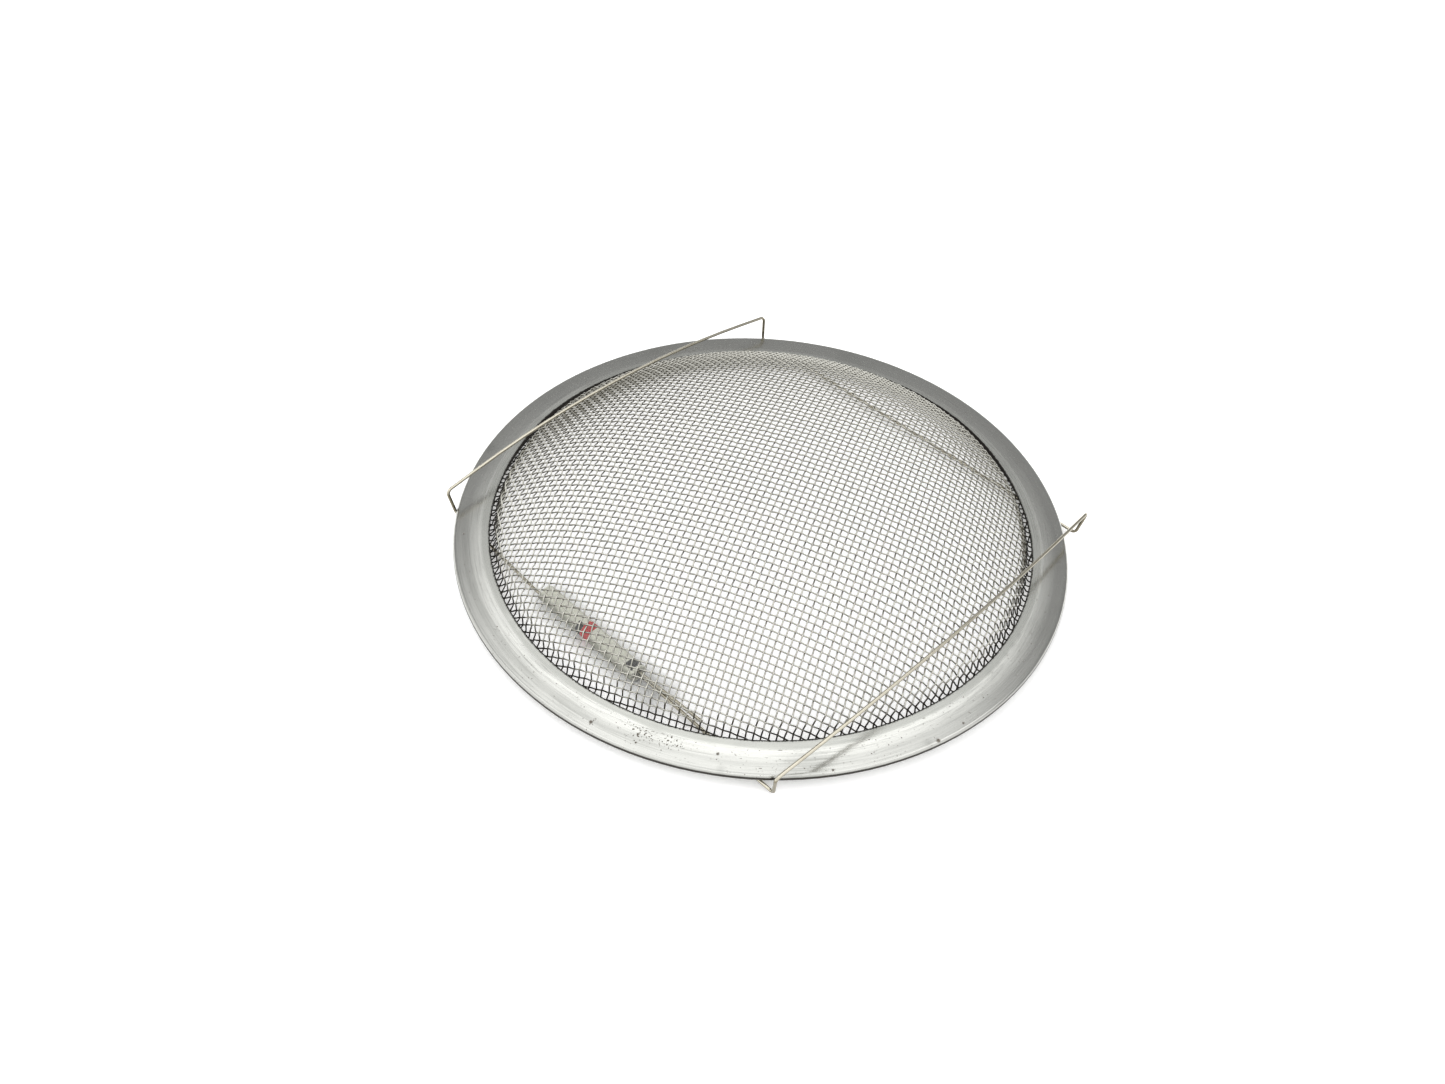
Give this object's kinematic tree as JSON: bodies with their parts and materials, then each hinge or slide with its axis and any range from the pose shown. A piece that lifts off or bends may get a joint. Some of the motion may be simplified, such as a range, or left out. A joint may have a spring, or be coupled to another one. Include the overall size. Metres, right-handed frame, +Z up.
{
  "type": "air funnel screen",
  "caption": "Domed woven wire screen held in a folded round metal rim, with a square spring wire loop that clips it over an air funnel mouth; the loop ends overlap in a taped paper label.",
  "frame": {"origin": "middle of the rim's flat underside, where it meets the lip of the funnel", "axes": "+Z up through the dome, out of the funnel; +X towards the loop corner that lies right in the picture, the loop's four corners lie near +X, +Y, -X and -Y"},
  "size_m": [0.1204, 0.1204, 0.0183],
  "materials": {
    "rim": "satin rolled sheet with fine scratches and small pits",
    "mesh": "bright drawn wire, slightly dulled",
    "spring": "bright drawn spring wire",
    "paper": "cream paper with a red and a black band",
    "tape": "clear film"
  },
  "bodies": {
    "root": {"rim": "rim", "mesh_dome": "mesh", "spring_wire": "spring", "paper_label": "paper", "clear_tape": "tape"}
  },
  "joints": []
}
